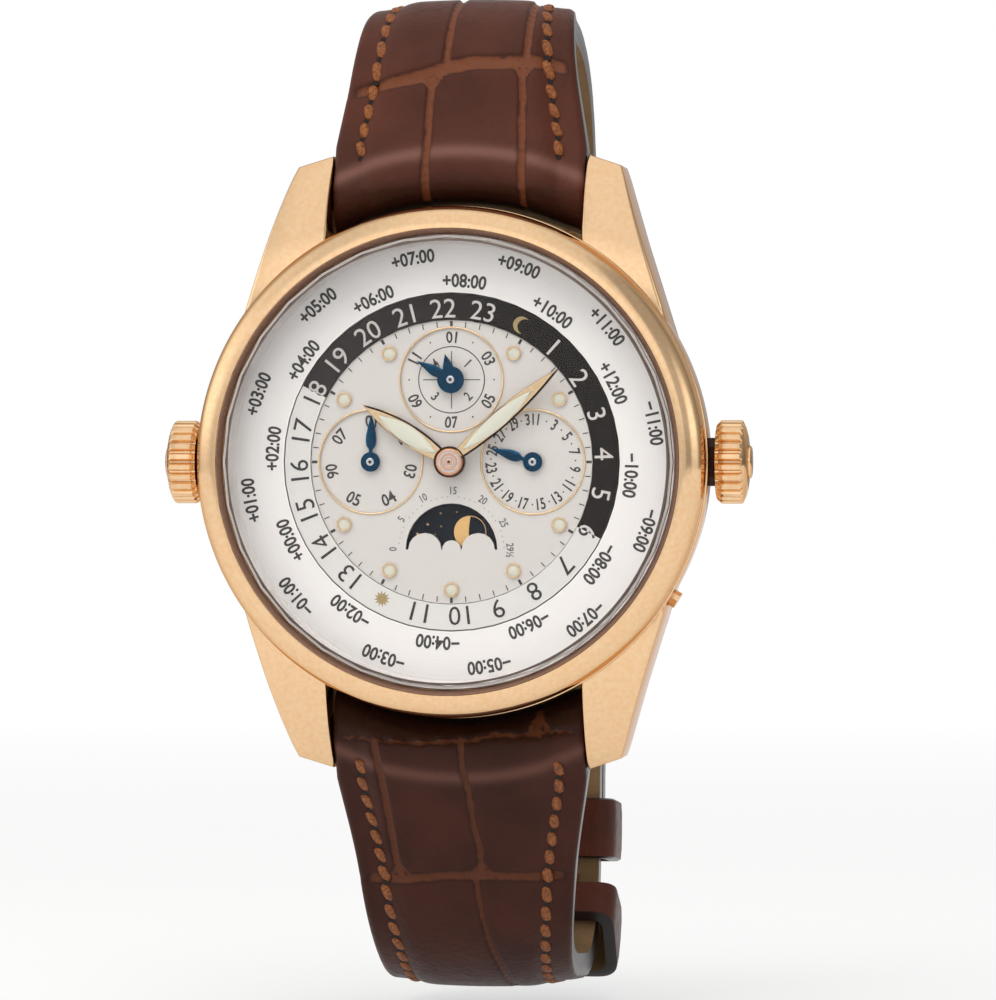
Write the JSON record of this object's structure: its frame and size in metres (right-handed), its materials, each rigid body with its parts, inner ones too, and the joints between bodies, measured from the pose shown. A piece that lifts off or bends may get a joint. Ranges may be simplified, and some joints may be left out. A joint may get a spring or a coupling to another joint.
{
  "type": "wristwatch",
  "caption": "Round gold-cased world-time wristwatch with rotating display rings, calendar sub-dials, a moon-phase window and a buckled leather strap.",
  "frame": {"origin": "centre of the case back's outer face, on the axis of the hands", "axes": "+Y out of the case back toward the wrist, so the dial faces -Y; +Z to 12 o'clock; +X to 3 o'clock"},
  "size_m": [0.0474, 0.0453, 0.0843],
  "materials": {
    "case_gold": "polished rose gold",
    "sapphire": "clear polished sapphire",
    "seal_rubber": "matt pale grey silicone",
    "flange_silver": "satin silver",
    "steel": "fine ground steel",
    "ring_silver": "silvered satin",
    "ring_brown": "dark brown satin lacquer",
    "dial_silver": "silvered satin",
    "hand_gold": "polished rose gold",
    "hand_blue": "heat-blued steel",
    "wheel_brass": "gilt brass",
    "moon_blue": "dark blue enamel",
    "bridge_rhodium": "rhodium-plated brass",
    "screw_blue": "heat-blued steel",
    "ruby": "polished synthetic ruby",
    "spring_alloy": "spring alloy",
    "rotor_gold": "gilt, brushed",
    "strap_leather": "brown alligator, glazed"
  },
  "bodies": {
    "root": {"case_middle": "case_gold", "bezel": "case_gold", "crystal": "sapphire", "gaskets": "seal_rubber", "dial_flange": "flange_silver", "case_back_ring": "case_gold", "case_back_glass": "sapphire", "strap_bars": "steel", "crown_tubes": "steel", "main_dial": "dial_silver", "hour_markers": "hand_gold", "movement_ring": "bridge_rhodium", "main_plate": "bridge_rhodium", "barrel_bridge": "bridge_rhodium", "train_bridge": "bridge_rhodium", "balance_cock": "bridge_rhodium", "bridge_screws": "screw_blue", "jewels": "ruby", "mainspring": "spring_alloy", "rotor_bearing": "steel", "strap_upper": "strap_leather", "strap_lower": "strap_leather", "buckle_frame": "case_gold", "fixed_keeper": "strap_leather"},
    "minute": {"minute_hand": "hand_gold", "cannon_pinion": "steel"},
    "centre": {"centre_wheel": "wheel_brass"},
    "hour": {"hour_hand": "hand_gold", "hour_wheel": "wheel_brass"},
    "motion": {"minute_wheel": "steel"},
    "idler": {"ring_idler": "wheel_brass"},
    "day_night": {"hour_ring": "ring_brown"},
    "day": {"day_hand": "hand_blue", "day_star": "wheel_brass"},
    "date": {"date_hand": "hand_blue", "date_wheel": "wheel_brass"},
    "month": {"month_hand": "hand_blue", "month_star": "wheel_brass"},
    "leap": {"leap_hand": "hand_blue", "leap_cam": "wheel_brass"},
    "moon": {"moon_disc": "moon_blue"},
    "barrel": {"barrel_drum": "wheel_brass"},
    "third": {"third_wheel": "wheel_brass"},
    "fourth": {"fourth_wheel": "wheel_brass"},
    "escape": {"escape_wheel": "steel"},
    "fork": {"pallet_fork": "steel"},
    "balance": {"balance_wheel": "wheel_brass", "hairspring": "spring_alloy"},
    "winding_rotor": {"rotor": "rotor_gold"},
    "city": {"city_ring": "ring_silver"},
    "city_crown": {"crown_left": "case_gold", "city_pinion": "steel"},
    "winder": {"winding_pinion": "steel"},
    "winding_crown": {"crown_right": "case_gold", "winding_stem": "steel"},
    "push_right": {"corrector_right": "case_gold"},
    "push_left": {"corrector_left": "case_gold"},
    "tongue": {"buckle_tongue": "case_gold"},
    "keeper": {"free_keeper": "strap_leather"}
  },
  "joints": [
    {"name": "minute_turn", "type": "hinge", "parent": "root", "child": "minute", "pos_m": [0, 0, 0], "axis": [0, 1, 0], "continuous": true},
    {"name": "hour_turn", "type": "hinge", "parent": "root", "child": "hour", "pos_m": [0, 0, 0], "axis": [0, 1, 0], "continuous": true},
    {"name": "motion_turn", "type": "hinge", "parent": "root", "child": "motion", "pos_m": [-0.00312, 0, 0.0018], "axis": [0, 1, 0], "continuous": true},
    {"name": "idler_turn", "type": "hinge", "parent": "root", "child": "idler", "pos_m": [0.00611, 0, 0.00611], "axis": [0, 1, 0], "continuous": true},
    {"name": "day_night_turn", "type": "hinge", "parent": "root", "child": "day_night", "pos_m": [0, 0, 0], "axis": [0, 1, 0], "continuous": true},
    {"name": "day_turn", "type": "hinge", "parent": "root", "child": "day", "pos_m": [-0.0065, 0, 0], "axis": [0, 1, 0], "continuous": true},
    {"name": "date_turn", "type": "hinge", "parent": "root", "child": "date", "pos_m": [0.00656, 0, 0], "axis": [0, 1, 0], "continuous": true},
    {"name": "month_turn", "type": "hinge", "parent": "root", "child": "month", "pos_m": [0, 0, 0.00656], "axis": [0, 1, 0], "continuous": true},
    {"name": "leap_turn", "type": "hinge", "parent": "root", "child": "leap", "pos_m": [0, 0, 0.00656], "axis": [0, 1, 0], "continuous": true},
    {"name": "moon_turn", "type": "hinge", "parent": "root", "child": "moon", "pos_m": [0, 0, -0.007], "axis": [0, 1, 0], "continuous": true},
    {"name": "centre_turn", "type": "hinge", "parent": "root", "child": "centre", "pos_m": [0, 0, 0], "axis": [0, 1, 0], "continuous": true},
    {"name": "barrel_turn", "type": "hinge", "parent": "root", "child": "barrel", "pos_m": [-0.00151, 0, 0.00605], "axis": [0, 1, 0], "continuous": true},
    {"name": "third_turn", "type": "hinge", "parent": "root", "child": "third", "pos_m": [0.00455, 0, -0.00382], "axis": [0, 1, 0], "continuous": true},
    {"name": "fourth_turn", "type": "hinge", "parent": "root", "child": "fourth", "pos_m": [0.0012, 0, -0.00767], "axis": [0, 1, 0], "continuous": true},
    {"name": "escape_turn", "type": "hinge", "parent": "root", "child": "escape", "pos_m": [-0.00326, 0, -0.00886], "axis": [0, 1, 0], "continuous": true},
    {"name": "fork_rock", "type": "hinge", "parent": "root", "child": "fork", "pos_m": [-0.00588, 0, -0.00681], "axis": [0, 1, 0], "range_deg": [-5, 5]},
    {"name": "balance_swing", "type": "hinge", "parent": "root", "child": "balance", "pos_m": [-0.0083, 0, -0.00492], "axis": [0, 1, 0], "range_deg": [-270, 270], "stiffness_Nm_per_rad": 0.0000002},
    {"name": "rotor_swing", "type": "hinge", "parent": "root", "child": "winding_rotor", "pos_m": [0, 0, 0], "axis": [0, 1, 0], "continuous": true},
    {"name": "city_turn", "type": "hinge", "parent": "root", "child": "city", "pos_m": [0, 0, 0], "axis": [0, 1, 0], "continuous": true},
    {"name": "city_crown_turn", "type": "hinge", "parent": "root", "child": "city_crown", "pos_m": [0, -0.0052, 0], "axis": [-1, 0, 0], "continuous": true},
    {"name": "winder_turn", "type": "hinge", "parent": "root", "child": "winder", "pos_m": [0, -0.0052, 0], "axis": [1, 0, 0], "continuous": true},
    {"name": "crown_pull", "type": "slide", "parent": "winder", "child": "winding_crown", "axis": [1, 0, 0], "range_m": [0, 0.0012]},
    {"name": "push_right_press", "type": "slide", "parent": "root", "child": "push_right", "axis": [-0.848, 0, 0.5299], "range_m": [0, 0.0004], "stiffness_N_per_m": 400},
    {"name": "push_left_press", "type": "slide", "parent": "root", "child": "push_left", "axis": [0.788, 0, 0.6157], "range_m": [0, 0.0004], "stiffness_N_per_m": 400},
    {"name": "tongue_swing", "type": "hinge", "parent": "root", "child": "tongue", "pos_m": [0, 0.02801, -0.02009], "axis": [-1, 0, 0], "range_deg": [0, 25]},
    {"name": "keeper_shift", "type": "hinge", "parent": "root", "child": "keeper", "pos_m": [0, 0.01746, -0.03312], "axis": [1, 0, 0], "range_deg": [-12, 12]}
  ],
  "couplings": [
    {"joint": "motion_turn", "follows": "minute_turn", "ratio": -0.33333},
    {"joint": "hour_turn", "follows": "minute_turn", "ratio": 0.083333},
    {"joint": "idler_turn", "follows": "minute_turn", "ratio": -0.16667},
    {"joint": "day_night_turn", "follows": "minute_turn", "ratio": -0.041667},
    {"joint": "day_turn", "follows": "minute_turn", "ratio": 0.0059524},
    {"joint": "date_turn", "follows": "minute_turn", "ratio": 0.0013441},
    {"joint": "month_turn", "follows": "minute_turn", "ratio": 0.00011408},
    {"joint": "leap_turn", "follows": "minute_turn", "ratio": 0.000028519},
    {"joint": "moon_turn", "follows": "minute_turn", "ratio": 0.00070548},
    {"joint": "centre_turn", "follows": "fourth_turn", "ratio": 0.016667},
    {"joint": "barrel_turn", "follows": "fourth_turn", "ratio": -0.002381},
    {"joint": "third_turn", "follows": "fourth_turn", "ratio": -0.13333},
    {"joint": "escape_turn", "follows": "fourth_turn", "ratio": -10},
    {"joint": "city_turn", "follows": "city_crown_turn", "ratio": 0.16667}
  ]
}
